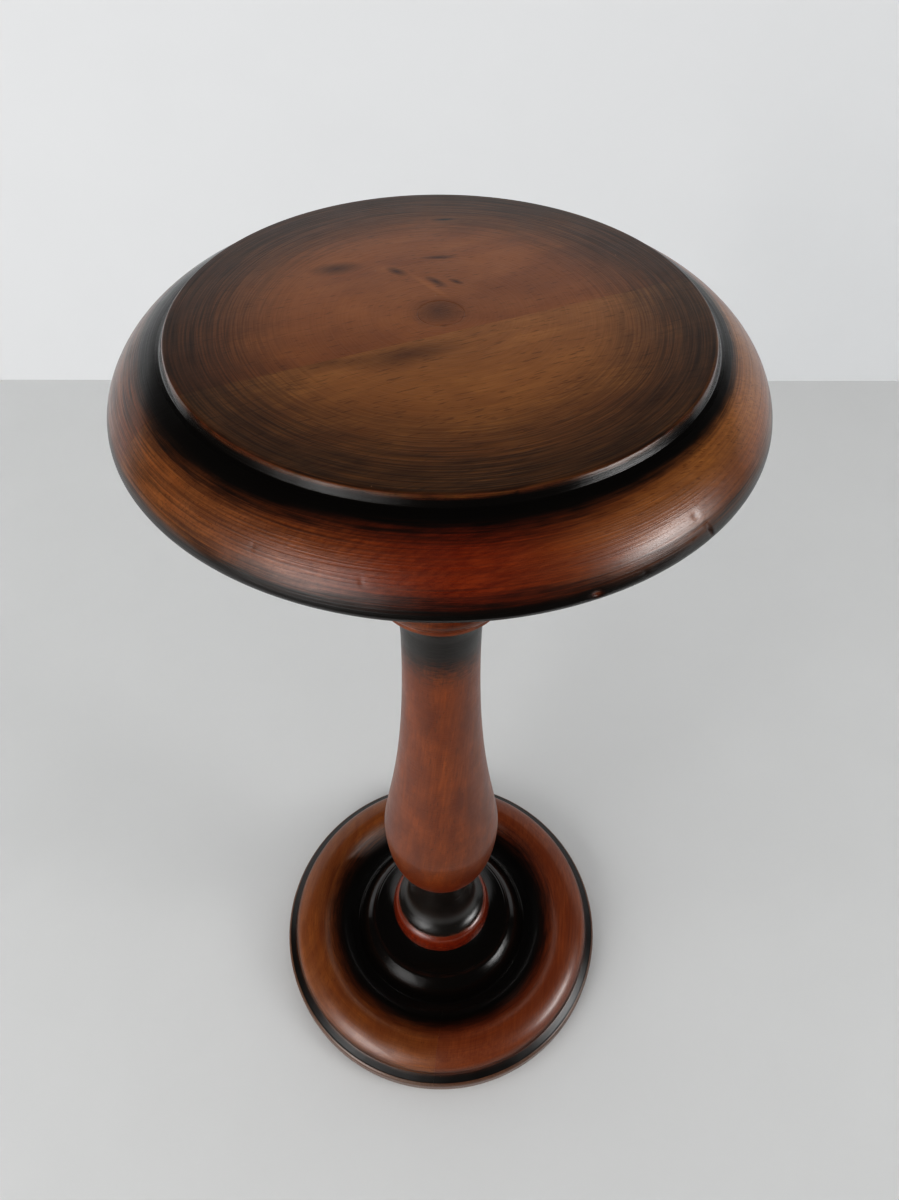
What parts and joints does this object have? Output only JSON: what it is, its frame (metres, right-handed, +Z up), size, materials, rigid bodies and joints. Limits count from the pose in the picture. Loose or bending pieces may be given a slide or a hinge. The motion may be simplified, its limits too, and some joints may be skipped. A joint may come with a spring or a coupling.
{
  "type": "pedestal stand",
  "caption": "Turned wooden pedestal stand: round moulded top with a raised flat disc, baluster column and dished round base on felt pads.",
  "frame": {"origin": "on the floor, under the middle of the round base, where the felt pads rest", "axes": "+Z up along the column; -Y is the side that faces the viewer, +X to the viewer's right"},
  "size_m": [0.2672, 0.2672, 0.6],
  "materials": {
    "stained_wood": "brown stain with black shaded edges under satin-gloss lacquer",
    "dark_wood": "dark stain under satin-gloss lacquer",
    "pale_wood": "bare beech",
    "zinc_steel": "zinc plated",
    "felt": "pressed felt"
  },
  "bodies": {
    "root": {"top_board_back": "stained_wood", "top_board_front": "stained_wood", "top_dowel_1": "pale_wood", "top_dowel_2": "pale_wood", "top_plug": "dark_wood", "top_screw": "zinc_steel", "top_cleat": "dark_wood", "cleat_screw_1": "zinc_steel", "cleat_screw_2": "zinc_steel", "cleat_screw_3": "zinc_steel", "cleat_screw_4": "zinc_steel", "column": "stained_wood", "base_board_left": "stained_wood", "base_board_right": "stained_wood", "base_dowel_1": "pale_wood", "base_dowel_2": "pale_wood", "base_washer": "zinc_steel", "base_bolt": "zinc_steel", "felt_pad_1": "felt", "felt_pad_2": "felt", "felt_pad_3": "felt", "felt_pad_4": "felt"}
  },
  "joints": []
}
